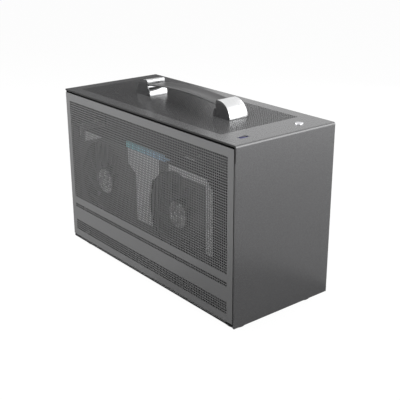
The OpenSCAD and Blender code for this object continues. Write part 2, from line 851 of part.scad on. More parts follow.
// Upright port: thin metal shell with a tongue inside
module port_shell() {
    wall = 0.4;
    color([0.7, 0.7, 0.72]) in_case() difference() {
        box(control_cx - port_w / 2, control_cx + port_w / 2, port_y - port_l / 2, port_y + port_l / 2,
            control_board_z, case_h - 0.2);
        box(control_cx - port_w / 2 + wall, control_cx + port_w / 2 - wall,
            port_y - port_l / 2 + wall, port_y + port_l / 2 - wall, control_board_z + 3, case_h + 1);
    }
}

module port_tongue() {
    color([0.1, 0.15, 0.75]) in_case()
        box(control_cx - 0.2, control_cx + 1.7, port_y - port_l / 2 + 1.3, port_y + port_l / 2 - 1.3,
            control_board_z + 3, case_h - 1);
}

// Inlet on the rear panel: flanged body with an open socket
module mains_inlet() {
    hw = inlet_w / 2;
    hh = inlet_h / 2;
    color([0.05, 0.05, 0.05]) in_case() difference() {
        union() {
            box(-1.6, 0, inlet_y - inlet_screw - 5, inlet_y + inlet_screw + 5,
                inlet_z - hh - 1.5, inlet_z + hh + 1.5);
            box(0, 20, inlet_y - hw, inlet_y + hw, inlet_z - hh, inlet_z + hh);
        }
        along_x(-2, 16.5) polygon([
            [inlet_y - 12, inlet_z - 8], [inlet_y + 12, inlet_z - 8], [inlet_y + 12, inlet_z + 3],
            [inlet_y + 7, inlet_z + 8], [inlet_y - 7, inlet_z + 8], [inlet_y - 12, inlet_z + 3]
        ]);
        for (s = [-1, 1])
            rod_x(-2, 1, inlet_y + s * inlet_screw, inlet_z, screw_r + slip);
    }
}

module inlet_pins() {
    color([0.75, 0.75, 0.75]) in_case()
        for (p = [[-7, -2], [0, 2], [7, -2]])
            box(1, 14.5, inlet_y + p[0] - 1, inlet_y + p[0] + 1, inlet_z + p[1] - 2, inlet_z + p[1] + 2);
}

// Countersunk screws that clamp the inlet's flange to the rear panel
module inlet_screws() {
    color([0.6, 0.6, 0.6]) in_case()
        for (s = [-1, 1]) {
            rod_x(-1.6, 4, inlet_y + s * inlet_screw, inlet_z, screw_r);
            rod_x(-2.6, -1.6, inlet_y + s * inlet_screw, inlet_z, head_r - 0.4);
        }
}

module rear_screws() {
    color([0.6, 0.6, 0.6]) in_case()
        for (y = rear_screw_ys) {
            rod_x(0, steel_t + shell_t + 2, y, rear_screw_z, screw_r);
            rod_x(-head_h, 0, y, rear_screw_z, head_r);
        }
}

module base_screws() {
    color([0.6, 0.6, 0.6]) in_case()
        for (x = base_screw_xs, y = base_screw_ys) {
            rod_z(0, pan_t + shell_t + 1.5, x, y, screw_r);
            rod_z(-head_h, 0, x, y, head_r);
        }
}

// Screws of the power supply bracket and of the card's bracket
module bracket_screws() {
    y1 = tray_y + 2 * steel_t;
    color([0.6, 0.6, 0.6]) in_case() {
        for (z = [-1, 1])
            translate([supply_x - steel_t - supply_flange / 2, 0, supply_z + z * 52]) {
                rod_y(tray_y - 1.5, y1, 0, 0, screw_r);
                rod_y(y1, y1 + head_h, 0, 0, head_r);
            }
        for (i = [0, 1])
            translate([steel_t + 6, bracket_screw_y(i), bracket_z1]) {
                rod_z(-steel_t - 3, bracket_t, 0, 0, screw_r);
                rod_z(bracket_t, bracket_t + 2.2, 0, 0, head_r);
            }
    }
}

// Front outline of the shroud with its corners cut off
module shroud_outline(inset) {
    c = shroud_corner;
    x0 = card_x0 + inset;
    x1 = card_x1 - inset;
    z0 = card_low + inset;
    z1 = card_z1 - inset;
    polygon([
        [x0 + c, z0], [x1 - c, z0], [x1, z0 + c], [x1, z1 - c],
        [x1 - c, z1], [x0 + c, z1], [x0, z1 - c], [x0, z0 + c]
    ]);
}

// Fan shroud: an open-backed shell with a round opening and a raised rim for each fan
module card_shroud() {
    color([0.42, 0.42, 0.43]) in_case() difference() {
        union() {
            along_y(card_y, shroud_d) shroud_outline(0);
            for (x = fan_xs)
                rod_y(card_y - 0.8, card_y + 1, x, fan_z, fan_hole_r + 2);
        }
        along_y(card_y + shroud_t, shroud_d) shroud_outline(shroud_t);
        for (x = fan_xs)
            rod_y(card_y - 2, card_y + shroud_t + 1, x, fan_z, fan_hole_r);
        box(strip_x0 - slip, strip_x0 + strip_l + slip, strip_y0 - slip, strip_y0 + strip_w + slip,
            card_z1 - 1, card_z1 + 1);
        // Air slots along the lower edge
        for (i = [0:7])
            box(card_x0 + 22 + i * 31, card_x0 + 44 + i * 31, card_y + 14, card_y + shroud_d - 6,
                card_low - 1, card_low + shroud_t + 1);
    }
}

// Edge of a blade, seen along the shaft: it leans forward towards its tip
function blade_point(f, t) =
    let(r = hub_r - 1 + f * (fan_d / 2 - hub_r + 1), a = blade_lean * f)
    [r * cos(a * f) - t * sin(a), r * sin(a * f) + t * cos(a)];

// A blade is a thin curved strip that turns round the shaft as it goes along it
module blade() {
    steps = 4;
    linear_extrude(height = blade_h, twist = blade_twist, slices = 5, segments = 10)
        polygon(concat([for (i = [0:steps]) blade_point(i / steps, 0)],
            [for (i = [steps:-1:0]) blade_point(i / steps, blade_t)]));
}

module card_fan(x) {
    color([0.1, 0.1, 0.1]) in_case() translate([x, fan_y, fan_z]) rotate([-90, 0, 0]) difference() {
        union() {
            cylinder(r = hub_r, h = hub_l);
            for (i = [0:blades - 1])
                rotate(i * 360 / blades) translate([0, 0, 0.5]) blade();
        }
        translate([0, 0, 2]) cylinder(r = shaft_r + shaft_gap, h = hub_l);
        translate([0, 0, hub_l - 3]) cylinder(r = hub_r - 1.5, h = 4);
    }
}

module card_fan_rear() {
    card_fan(fan_xs[0]);
}

module card_fan_front() {
    card_fan(fan_xs[1]);
}

// Bright disc on a hub, with a stepped rim and radial flutes
module fan_cap(x) {
    color([0.75, 0.76, 0.78]) in_case() translate([x, fan_y, fan_z]) rotate([90, 0, 0]) difference() {
        cylinder(r = cap_r, h = cap_t);
        for (i = [0:11])
            rotate(i * 30) translate([9, 0, cap_t]) rotate([0, 90, 0]) cylinder(r = 0.5, h = 6);
        translate([0, 0, cap_t - 0.25]) cylinder(r = 5, h = 1);
    }
}

module fan_cap_rear() {
    fan_cap(fan_xs[0]);
}

module fan_cap_front() {
    fan_cap(fan_xs[1]);
}

// Stator and shaft, seated on the heatsink
module fan_motor(x) {
    color([0.25, 0.22, 0.2]) in_case() {
        rod_y(fan_y + 2.3, fin_y0, x, fan_z, shaft_r);
        rod_y(fan_y + hub_l - 2.6, fan_y + hub_l + 0.6, x, fan_z, hub_r - 1.5 - run_gap);
        rod_y(fan_y + hub_l + 0.6, fin_y0, x, fan_z, hub_r + 1);
    }
}

module fan_motor_rear() {
    fan_motor(fan_xs[0]);
}

module fan_motor_front() {
    fan_motor(fan_xs[1]);
}

// Upright fins on three heat pipes, over a block that meets the card's chip
module card_heatsink() {
    x0 = card_x0 + shroud_t + shroud_corner + run_gap;
    x1 = card_x1 - shroud_t - shroud_corner - run_gap;
    step = (x1 - x0 - fin_t) / (fins - 1);
    color([0.62, 0.63, 0.65]) in_case() {
        for (i = [0:fins - 1])
            box(x0 + i * step, x0 + i * step + fin_t, fin_y0, pcb_y - 2, fin_z0, fin_z1);
        for (z = [-24, 0, 24])
            rod_x(x0, x1, pcb_y - 9, fan_z + z, 3);
        box(card_screw_xs[0] - 6, card_screw_xs[1] + 6, pcb_y - 9, pcb_y,
            card_screw_zs[0] - 6, card_screw_zs[1] + 6);
    }
}

// Circuit board with its edge connector, a key notch in the contacts
module card_board() {
    color([0.04, 0.06, 0.05]) in_case() difference() {
        union() {
            box(card_x0, pcb_x1, pcb_y, pcb_y + board_t, pcb_z0, pcb_z1);
            box(tab_x0, tab_x0 + tab_l, pcb_y, pcb_y + board_t, pcb_z0 - tab_drop, pcb_z0);
        }
        box(tab_x0 + 12, tab_x0 + 14, pcb_y - 1, pcb_y + board_t + 1, pcb_z0 - tab_drop - 1, pcb_z0 - 2);
        for (x = card_screw_xs, z = card_screw_zs)
            rod_y(pcb_y - 1, pcb_y + board_t + 1, x, z, screw_hole_r);
    }
}

module card_backplate() {
    color([0.12, 0.12, 0.12]) in_case() difference() {
        box(card_x0, pcb_x1 + 20, backplate_y, backplate_y + 1.2, pcb_z0 + 2, pcb_z1);
        for (x = card_screw_xs, z = card_screw_zs)
            rod_y(backplate_y - 1, backplate_y + 2, x, z, screw_hole_r);
        for (i = [0:5])
            box(pcb_x1 - 38 + i * 8, pcb_x1 - 34 + i * 8, backplate_y - 1, backplate_y + 2,
                fan_z - 30, fan_z + 30);
    }
}

module card_screws() {
    color([0.5, 0.5, 0.5]) in_case()
        for (x = card_screw_xs, z = card_screw_zs) {
            rod_y(pcb_y, backplate_y + 1.2, x, z, screw_r);
            rod_y(backplate_y + 1.2, backplate_y + 2.6, x, z, 2.6);
        }
}

// Double bracket behind the slot window: port openings, exhaust slots and a screw tab
module card_bracket() {
    y0 = bracket_y1 - bracket_w;
    color([0.6, 0.6, 0.62]) in_case() difference() {
        union() {
            box(bracket_x, bracket_x + bracket_t, y0, bracket_y1, bracket_z0, bracket_z1 + bracket_t);
            box(steel_t + 1, bracket_x, y0, bracket_y1, bracket_z1, bracket_z1 + bracket_t);
        }
        for (i = [0:3])
            box(bracket_x - 1, bracket_x + bracket_t + 1, pcb_y - 5.7, pcb_y + 0.1,
                bracket_z0 + 10 + i * socket_pitch, bracket_z0 + 26.2 + i * socket_pitch);
        for (i = [0:5])
            box(bracket_x - 1, bracket_x + bracket_t + 1, y0 + 5 + i * 3.6, y0 + 6.8 + i * 3.6,
                bracket_z0 + 12, bracket_z1 - 12);
        for (i = [0, 1])
            rod_z(bracket_z1 - 1, bracket_z1 + bracket_t + 1, steel_t + 6, bracket_screw_y(i),
                screw_r + slip);
    }
}

// Four display ports on the board, their mouths in the bracket's openings
module card_ports() {
    color([0.7, 0.7, 0.72]) in_case()
        for (i = [0:3])
            translate([bracket_x, pcb_y, bracket_z0 + 10.1 + i * socket_pitch]) difference() {
                box(0, 14, -5.6, 0, 0, 16);
                box(-1, 8, -5, -0.6, 0.6, 15.4);
            }
}

module card_light_strip() {
    color([0.35, 0.75, 0.85]) in_case()
        box(strip_x0, strip_x0 + strip_l, strip_y0, strip_y0 + strip_w, card_z1 - 1, card_z1 + 0.3);
}

// Upright socket that the card's edge connector stands in
module riser_slot() {
    xm = pcb_y + board_t / 2;
    z0 = riser_z1 - slot_floor;
    color([0.06, 0.06, 0.07]) in_case() difference() {
        box(tab_x0 - 2, tab_x0 + tab_l + 2, xm - slot_w / 2, xm + slot_w / 2, z0, z0 + slot_h);
        box(tab_x0 - slip, tab_x0 + tab_l + slip, pcb_y - slip, pcb_y + board_t + slip,
            riser_z1, z0 + slot_h + 1);
    }
}

module riser_board() {
    z1 = riser_z1 - slot_floor;
    color([0.05, 0.2, 0.12]) in_case()
        box(tab_x0 - 6, tab_x0 + tab_l + 6, pcb_y - 8, tray_y - steel_t - 0.3, z1 - board_t, z1);
}

// Shelf folded from one sheet, which carries the riser board off the tray
module riser_shelf() {
    z1 = riser_z1 - slot_floor - board_t;
    color([0.1, 0.1, 0.105]) in_case() {
        box(tab_x0 - 10, tab_x0 + tab_l + 10, pcb_y - 8, tray_y, z1 - steel_t, z1);
        box(tab_x0 - 10, tab_x0 + tab_l + 10, tray_y - steel_t, tray_y, z1, z1 + 14);
    }
}

front_top_shell();
base_pan();
rear_panel();
slot_frame();
board_tray();
board_standoffs();
supply_bracket();
side_panel_near();
side_panel_far();
panel_studs_near();
panel_studs_far();
top_rail_near();
top_rail_far();
base_rail_near();
base_rail_far();
panel_sockets_near();
panel_sockets_far();
handle_strap();
handle_foot_rear();
handle_foot_front();
handle_cap_rear();
handle_cap_front();
handle_screws();
foot_rear_near();
foot_rear_far();
foot_front_near();
foot_front_far();
foot_screws();
power_button();
switch_plunger();
button_guide();
power_switch();
control_board();
control_posts();
port_shell();
port_tongue();
mains_inlet();
inlet_pins();
inlet_screws();
rear_screws();
base_screws();
bracket_screws();
card_shroud();
card_fan_rear();
card_fan_front();
fan_cap_rear();
fan_cap_front();
fan_motor_rear();
fan_motor_front();
card_heatsink();
card_board();
card_backplate();
card_bracket();
card_ports();
card_light_strip();
card_screws();
riser_slot();
riser_board();
riser_shelf();
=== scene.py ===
import json
import math

import bmesh
import bpy
from mathutils import Matrix, Vector
from mathutils.geometry import convex_hull_2d

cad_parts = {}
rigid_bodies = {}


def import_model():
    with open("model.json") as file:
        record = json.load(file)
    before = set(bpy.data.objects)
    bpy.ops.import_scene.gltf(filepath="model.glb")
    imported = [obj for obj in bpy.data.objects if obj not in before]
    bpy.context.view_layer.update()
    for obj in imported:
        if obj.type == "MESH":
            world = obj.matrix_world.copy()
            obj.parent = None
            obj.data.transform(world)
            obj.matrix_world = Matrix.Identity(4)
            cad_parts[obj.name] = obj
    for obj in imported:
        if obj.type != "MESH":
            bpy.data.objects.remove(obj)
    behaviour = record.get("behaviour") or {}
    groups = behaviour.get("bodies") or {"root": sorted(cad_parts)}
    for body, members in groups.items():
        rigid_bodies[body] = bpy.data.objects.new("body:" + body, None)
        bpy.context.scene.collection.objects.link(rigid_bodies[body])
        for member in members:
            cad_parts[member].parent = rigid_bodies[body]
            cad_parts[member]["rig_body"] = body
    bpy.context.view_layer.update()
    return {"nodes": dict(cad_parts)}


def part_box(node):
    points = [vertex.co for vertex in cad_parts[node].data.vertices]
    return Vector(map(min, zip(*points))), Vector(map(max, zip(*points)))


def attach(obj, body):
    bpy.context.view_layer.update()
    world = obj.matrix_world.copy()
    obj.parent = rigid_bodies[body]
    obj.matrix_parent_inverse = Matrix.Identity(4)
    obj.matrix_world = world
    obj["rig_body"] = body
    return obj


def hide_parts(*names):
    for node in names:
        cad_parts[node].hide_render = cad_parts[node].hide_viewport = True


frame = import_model()
nodes = frame["nodes"]
mm = 0.001
print("frame loaded:", len(nodes), "nodes")


class Wire:  # an output of a node that takes part in Python maths
    def __init__(self, maker, socket):
        self.maker = maker
        self.socket = socket

    def other(self, output):  # another output of the same node
        return Wire(self.maker, self.socket.node.outputs[output])

    def maths(self, operation, *values):
        return self.maker.add("ShaderNodeMath", {"operation": operation}, dict(enumerate(values)))

    def __add__(self, value):
        return self.maths("ADD", self, value)

    def __sub__(self, value):
        return self.maths("SUBTRACT", self, value)

    def __rsub__(self, value):
        return self.maths("SUBTRACT", value, self)

    def __mul__(self, value):
        return self.maths("MULTIPLY", self, value)

    def __truediv__(self, value):
        return self.maths("DIVIDE", self, value)

    def __mod__(self, value):
        return self.maths("FLOORED_MODULO", self, value)

    def __gt__(self, value):
        return self.maths("GREATER_THAN", self, value)

    def __lt__(self, value):
        return self.maths("LESS_THAN", self, value)

    __radd__ = __add__
    __rmul__ = __mul__


class Maker:  # writes one tree of nodes
    def __init__(self, tree):
        self.tree = tree
        tree.nodes.clear()

    def add(self, kind, settings=None, sockets=None, output=0):
        node = self.tree.nodes.new(kind)
        for name, value in (settings or {}).items():
            setattr(node, name, value)
        for name, value in (sockets or {}).items():
            for wire in value if isinstance(value, list) else [value]:
                self.plug(wire, node.inputs[name])
        return Wire(self, node.outputs[output]) if len(node.outputs) else node

    def plug(self, value, slot):
        if isinstance(value, Wire):
            self.tree.links.new(value.socket, slot)
        else:
            slot.default_value = value

    def place(self):  # object coordinates, in metres
        return self.add("ShaderNodeTexCoord", output="Object")

    def axes(self, vector):
        first = self.add("ShaderNodeSeparateXYZ", {}, {0: vector})
        return first, first.other("Y"), first.other("Z")

    def noise(self, vector, scale, detail, roughness=0.5):
        return self.add("ShaderNodeTexNoise", {}, {
            "Vector": vector, "Scale": scale, "Detail": detail, "Roughness": roughness})

    def stretched(self, factors):  # object coordinates, scaled by axis
        return self.add("ShaderNodeVectorMath", {"operation": "MULTIPLY"}, {0: self.place(), 1: factors})

    def tint(self, factor, first, second):  # from the first colour to the second
        pair = [value if isinstance(value, Wire) else (*value, 1) for value in (first, second)]
        return self.add("ShaderNodeMix", {"data_type": "RGBA"}, {0: factor, 6: pair[0], 7: pair[1]}, output=2)

    def bump(self, height, depth, strength):
        return self.add("ShaderNodeBump", {}, {"Height": height, "Distance": depth, "Strength": strength})


def makeFinish(name, look):  # constants on the shader's own sockets, the pattern on the others
    material = bpy.data.materials.new(name)
    material.use_nodes = True
    maker = Maker(material.node_tree)
    constants = {
        "Metallic": look.get("metal", 0.0), "Emission Strength": look.get("glow", 0.0),
        "Coat Weight": look.get("coat", 0.0), "Coat Roughness": look.get("coatRough", 0.1),
    }
    sockets = dict(constants, **look.get("pattern", paint)(maker, look))
    shader = maker.add("ShaderNodeBsdfPrincipled", {}, sockets)
    maker.add("ShaderNodeOutputMaterial", {}, {"Surface": shader})
    return material


def shades(look):
    spread = look.get("drift", 0.06)
    return [c * (1 - spread) for c in look["colour"]], [c * (1 + spread) for c in look["colour"]]


driftScale = 9.0  # lumps of the slow drift in a metre


def paint(maker, look):  # slow drift of the colour, fine grain in gloss and surface
    drift = maker.noise(maker.place(), driftScale, 3)
    grain = maker.noise(maker.place(), look.get("grainScale", 1400.0), 2)
    return {
        "Base Color": maker.tint(drift, *shades(look)),
        "Roughness": look["rough"] + (grain - 0.5) * look.get("grain", 0.1),
        "Normal": maker.bump(grain, look.get("depth", 0.02 * mm), look.get("bump", 0.25)),
    }


def sheetPaintAndShade(maker, look):  # paint outside; painted shade inside and on the cut edges, so the seams read dark
    x, y, z = maker.axes(maker.place())
    away = y.maths("ABSOLUTE", y)
    coat = paint(maker, look)
    # painted shade: the inside, the flanges behind the panel, takes the near-black inner colour so the gaps
    # along the panel's edges read dark
    inside = away < look["shadeWithin"]
    # painted shade: the shell's side edges beyond shadedEdgeOut and above shadedEdgeAbove take the dark edge
    # colour, which thickens the seam line under the top sheet
    edge = (away > look["shadedEdgeOut"]) * (z > look["shadedEdgeAbove"])
    withShade = maker.tint(inside, coat["Base Color"], look["inner"])
    coat["Base Color"] = maker.tint(edge, withShade, look["edge"])
    return coat


def accented(maker, look):  # dark plastic with pale plates on the face towards the near side
    x, y, z = maker.axes(maker.place())
    coat = paint(maker, look)

    def between(value, low, high):
        return (value > low) * (value < high)

    face = y < look["faceY"]
    flare = (z - look["flareFrom"]).maths("MULTIPLY", z - look["flareFrom"], look["flare"])
    flare = flare.maths("MINIMUM", flare.maths("MAXIMUM", flare, 0.0), look["flareMost"])
    middle = (x - look["middleX"]).maths("ABSOLUTE", x - look["middleX"]) < flare + look["middleHalf"]
    end = between(x, *look["endX"]) + (x > look["rimX"]) * (z > look["rimZ"])
    wing = between(x, *look["wingX"]) * (z - x * look["wingSlope"] > look["wingZ"])
    pale = middle.maths("MAXIMUM", middle, end.maths("MAXIMUM", end, wing)) * face * (z > look["footZ"])
    coat["Base Color"] = maker.tint(pale, look["body"], coat["Base Color"])
    return coat


brush = dict(detail=4, roughness=0.6, depth=0.01 * mm)


def brushed(maker, look):  # fine lines along one axis
    lines = maker.noise(maker.stretched(look["lines"]), 1.0, brush["detail"], brush["roughness"])
    return {
        "Base Color": maker.tint(lines, *shades(look)),
        "Roughness": look["rough"] + (lines - 0.5) * look.get("grain", 0.15),
        "Normal": maker.bump(lines, brush["depth"], look.get("bump", 0.15)),
    }


boardPrint = dict(
    bendScale=90.0, bendRows=9, rowsPerMetre=40, trackFrom=0.62, trackShow=0.7,
    padScale=260.0, padRows=55, padPull=0.1, padFrom=0.68, padRough=0.2, padHeight=4,
    depth=0.05 * mm, bump=0.4,
)


def printedBoard(maker, look):  # solder mask over copper tracks that bend at right angles
    b = boardPrint
    x, y, z = maker.axes(maker.place())
    along, across = (x, z) if look["upright"] else (x, y)
    bends = maker.add("ShaderNodeTexVoronoi", {"distance": "CHEBYCHEV"}, {
        "Vector": maker.place(), "Scale": b["bendScale"]})
    tracks = ((bends * b["bendRows"] + across * b["rowsPerMetre"]) % 1) > b["trackFrom"]
    speckle = maker.noise(maker.place(), b["padScale"], 1)
    pads = (speckle + (along * b["padRows"] % 1) * b["padPull"]) > b["padFrom"]
    printed = maker.tint(tracks * b["trackShow"], look["colour"], look["track"])
    return {
        "Base Color": maker.tint(pads, printed, look["pad"]),
        "Roughness": look["rough"] + pads * b["padRough"],
        "Normal": maker.bump(tracks + pads * b["padHeight"], b["depth"], b["bump"]),
    }


def paintedSparkleDisc(maker, look):  # facets of a bright disc, each tilted its own way by the bump and each given its own brightness, dark to bright, as a painted sparkle
    cells = maker.add("ShaderNodeTexVoronoi", {}, {
        "Vector": maker.place(), "Scale": look["cells"]}, output="Color")
    shade = maker.add("ShaderNodeSeparateColor", {}, {"Color": cells})
    return {
        "Base Color": maker.tint(shade, look["dark"], look["colour"]),
        "Roughness": look["rough"] + shade * look["grain"],
        "Normal": maker.bump(shade, look["depth"], look["bump"]),
    }


def litBar(maker, look):  # light guide with brighter cells along its length
    x, y, z = maker.axes(maker.place())
    lengthwise = maker.stretched((look["cells"], 0, 0))
    level = look["least"] + maker.noise(lengthwise, 1.0, 1) * look["swing"]
    cells = ((x * look["cells"] % 1) > look["gap"]) * level
    along = (x - look["startX"]) / look["length"]
    glow = maker.tint(cells, look["dim"], maker.tint(along, look["colour"], look["farColour"]))
    return {"Base Color": glow, "Emission Color": glow, "Roughness": look["rough"]}


def wornRubber(maker, look):  # matt with a little dust in its grain
    grain = maker.noise(maker.place(), look["grainScale"], 3)
    dust = maker.noise(maker.place(), look["dustScale"], 4) > look["dustFrom"]
    return {
        "Base Color": maker.tint(dust * look["dustShow"], look["colour"], look["dust"]),
        "Roughness": look["rough"] + (grain - 0.5) * look["grain"],
        "Normal": maker.bump(grain, look["depth"], look["bump"]),
    }


finishes = {
    # lining: where the sheet's inside starts, drawn near-black there as painted shade; shadedEdgeOut,
    # shadedEdgeAbove: how far out and up its cut edges lie, drawn dark there as painted shade
    # shellPaintAndShade: its edge colour is painted shade on the shell's side edges near the top
    "shellPaintAndShade": dict(colour=(0.160, 0.160, 0.163), rough=0.27, metal=0.5, drift=0.03, grainScale=2600,
                       grain=0.06, depth=0.01 * mm, bump=0.3, pattern=sheetPaintAndShade, inner=(0.02, 0.02, 0.02),
                       edge=(0.04, 0.04, 0.04), shadeWithin=0, shadedEdgeOut=73.4 * mm, shadedEdgeAbove=0.2),
    # meshPaintAndShade: its inner colour is painted shade on the flanges behind the side panels
    "meshPaintAndShade": dict(colour=(0.200, 0.200, 0.202), rough=0.42, metal=0.35, drift=0.03, grainScale=2600,
                      grain=0.06, depth=0.01 * mm, bump=0.3, pattern=sheetPaintAndShade, inner=(0.02, 0.02, 0.02),
                      edge=(0.04, 0.04, 0.04), shadeWithin=72.8 * mm, shadedEdgeOut=1.0, shadedEdgeAbove=1.0),
    # chassisNearBlack: the chassis parts inside the covers are drawn near-black
    "chassisNearBlack": dict(colour=(0.016, 0.016, 0.017), rough=0.55, grainScale=1100, depth=0.03 * mm, bump=0.4),
    "brass": dict(colour=(0.70, 0.50, 0.22), rough=0.3, metal=1.0, pattern=brushed, lines=(90, 90, 900)),
    "zincPlate": dict(colour=(0.60, 0.60, 0.58), rough=0.35, metal=1.0, pattern=brushed, lines=(700, 90, 90)),
    "nylon": dict(colour=(0.03, 0.03, 0.03), rough=0.5, grainScale=900),
    "strapRubber": dict(colour=(0.045, 0.045, 0.046), rough=0.42, grainScale=1500, depth=0.03 * mm, bump=0.3),
    "glossBlack": dict(colour=(0.010, 0.010, 0.011), rough=0.18, drift=0.02, grain=0.03, bump=0.05,
                       coat=0.4, coatRough=0.08),
    "chrome": dict(colour=(0.74, 0.745, 0.75), rough=0.32, metal=1.0, pattern=brushed, lines=(60, 900, 60),
                   drift=0.12, grain=0.08, bump=0.05),
    "footRubber": dict(colour=(0.022, 0.022, 0.022), dust=(0.06, 0.058, 0.055), rough=0.72, grainScale=900.0,
                       grain=0.12, depth=0.06 * mm, bump=0.5, dustScale=60.0, dustFrom=0.62, dustShow=0.35,
                       pattern=wornRubber),
    "buttonMetal": dict(colour=(0.62, 0.62, 0.64), rough=0.3, metal=1.0, pattern=brushed,
                        lines=(900, 60, 60)),
    "maskGreen": dict(colour=(0.008, 0.040, 0.022), track=(0.03, 0.09, 0.045), pad=(0.45, 0.40, 0.25),
                      rough=0.3, upright=False, pattern=printedBoard),
    "maskBlack": dict(colour=(0.008, 0.010, 0.010), track=(0.025, 0.032, 0.032), pad=(0.42, 0.40, 0.36),
                      rough=0.3, upright=True, pattern=printedBoard),
    "portBlue": dict(colour=(0.03, 0.03, 0.25), rough=0.45, grainScale=900),
    "shroudPlastic": dict(colour=(0.90, 0.90, 0.91), body=(0.03, 0.03, 0.03), rough=0.45, grainScale=1600,
                          depth=0.02 * mm, bump=0.3, pattern=accented, faceY=-64.8 * mm, middleX=-6.5 * mm,
                          middleHalf=16 * mm, flareFrom=137 * mm, flare=1.6, flareMost=17 * mm,
                          endX=(113 * mm, 126 * mm), footZ=78 * mm, rimX=44 * mm, rimZ=159 * mm,
                          wingX=(-140 * mm, -92 * mm), wingSlope=0.33, wingZ=199 * mm),
    "fanPlastic": dict(colour=(0.020, 0.020, 0.021), rough=0.42, grainScale=900),
    # hubSilverPaintedSparkle: the spread from dark to colour across the cells is a painted sparkle on the
    # silver
    "hubSilverPaintedSparkle": dict(colour=(0.98, 0.98, 0.98), dark=(0.12, 0.12, 0.125), rough=0.3, metal=0.1, cells=330.0,
                      grain=0.2, depth=0.8 * mm, bump=0.7, pattern=paintedSparkleDisc),
    "finMetal": dict(colour=(0.40, 0.40, 0.41), rough=0.38, metal=1.0, pattern=brushed, lines=(60, 60, 700)),
    "backplateCoat": dict(colour=(0.035, 0.035, 0.036), rough=0.4, metal=0.6, grainScale=1400),
    "litStrip": dict(colour=(0.22, 0.60, 0.62), farColour=(0.36, 0.54, 0.70), dim=(0.05, 0.13, 0.17),
                     rough=0.3, glow=0.42, startX=-46 * mm, length=60 * mm, cells=230, gap=0.25,
                     least=0.35, swing=1.1, pattern=litBar),
}
dressing = {
    "shellPaintAndShade": ["front_top_shell"],
    "meshPaintAndShade": ["side_panel_near", "side_panel_far"],
    "chassisNearBlack": ["base_pan", "rear_panel", "slot_frame", "board_tray", "supply_bracket", "top_rail_near",
                  "top_rail_far", "base_rail_near", "base_rail_far", "riser_shelf"],
    "brass": ["board_standoffs", "control_posts"],
    "zincPlate": ["panel_studs_near", "panel_studs_far", "handle_screws", "foot_screws", "inlet_screws",
                  "rear_screws", "base_screws", "bracket_screws", "card_screws", "card_bracket", "port_shell",
                  "card_ports", "inlet_pins"],
    "nylon": ["panel_sockets_near", "panel_sockets_far", "button_guide", "power_switch", "switch_plunger",
              "riser_slot", "mains_inlet"],
    "strapRubber": ["handle_strap"],
    "glossBlack": ["handle_foot_rear", "handle_foot_front"],
    "chrome": ["handle_cap_rear", "handle_cap_front"],
    "footRubber": ["foot_rear_near", "foot_rear_far", "foot_front_near", "foot_front_far"],
    "buttonMetal": ["power_button"],
    "maskGreen": ["control_board", "riser_board"],
    "maskBlack": ["card_board"],
    "portBlue": ["port_tongue"],
    "shroudPlastic": ["card_shroud"],
    "fanPlastic": ["card_fan_rear", "card_fan_front", "fan_motor_rear", "fan_motor_front"],
    "hubSilverPaintedSparkle": ["fan_cap_rear", "fan_cap_front"],
    "finMetal": ["card_heatsink"],
    "backplateCoat": ["card_backplate"],
    "litStrip": ["card_light_strip"],
}
materials = {name: makeFinish(name, look) for name, look in finishes.items()}
for name, members in dressing.items():
    for member in members:
        nodes[member].data.materials.clear()
        nodes[member].data.materials.append(materials[name])
print("finishes made:", len(materials))


def meshPiece(name, fill, material):  # fill writes into an empty bmesh
    shape = bmesh.new()
    fill(shape)
    mesh = bpy.data.meshes.new(name)
    shape.to_mesh(mesh)
    shape.free()
    mesh.materials.append(material)
    piece = bpy.data.objects.new(name, mesh)
    bpy.context.scene.collection.objects.link(piece)
    return piece


def addBlock(shape, low, high):
    middle = (Vector(low) + Vector(high)) / 2
    size = Vector(high) - Vector(low)
    bmesh.ops.create_cube(shape, size=1.0, matrix=Matrix.Translation(middle) @ Matrix.Diagonal((*size, 1)))


def settle(piece, material, smooth=None):  # the modifiers' result becomes the piece's plain mesh
    graph = bpy.context.evaluated_depsgraph_get()
    mesh = bpy.data.meshes.new_from_object(piece.evaluated_get(graph))
    piece.modifiers.clear()
    piece.data = mesh
    mesh.materials.clear()
    mesh.materials.append(material)
    mesh.polygons.foreach_set("material_index", [0] * len(mesh.polygons))
    mesh.polygons.foreach_set("use_smooth", [smooth is not None] * len(mesh.polygons))
    if smooth is not None:
        mesh.set_sharp_from_angle(angle=math.radians(smooth))
    return piece


edgeAngle = 40  # edges that turn less than this many degrees stay as they are


def bevelled(piece, material, width, segments=2, smooth=35):
    tool = piece.modifiers.new("edges", "BEVEL")
    tool.width = width
    tool.segments = segments
    tool.limit_method = "ANGLE"
    tool.angle_limit = math.radians(edgeAngle)
    return settle(piece, material, smooth)


def gather(piece, others):  # the others' faces move into the piece
    shape = bmesh.new()
    shape.from_mesh(piece.data)
    for other in others:
        shape.from_mesh(other.data)
        bpy.data.objects.remove(other)
    shape.to_mesh(piece.data)
    shape.free()
    return piece


def mount(piece, body, slot, *stoodFor):  # rides, hides the solids it stands for; slot is not used
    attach(piece, body)
    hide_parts(*stoodFor)
    return piece


def geometryTree(name, inputs):
    tree = bpy.data.node_groups.new(name, "GeometryNodeTree")
    tree.interface.new_socket("Geometry", in_out="INPUT", socket_type="NodeSocketGeometry")
    for label, kind in inputs.items():
        tree.interface.new_socket(label, in_out="INPUT", socket_type="NodeSocket" + kind)
    tree.interface.new_socket("Geometry", in_out="OUTPUT", socket_type="NodeSocketGeometry")
    maker = Maker(tree)
    entry = maker.add("NodeGroupInput")
    return tree, maker, {label: entry.other(label) for label in inputs}


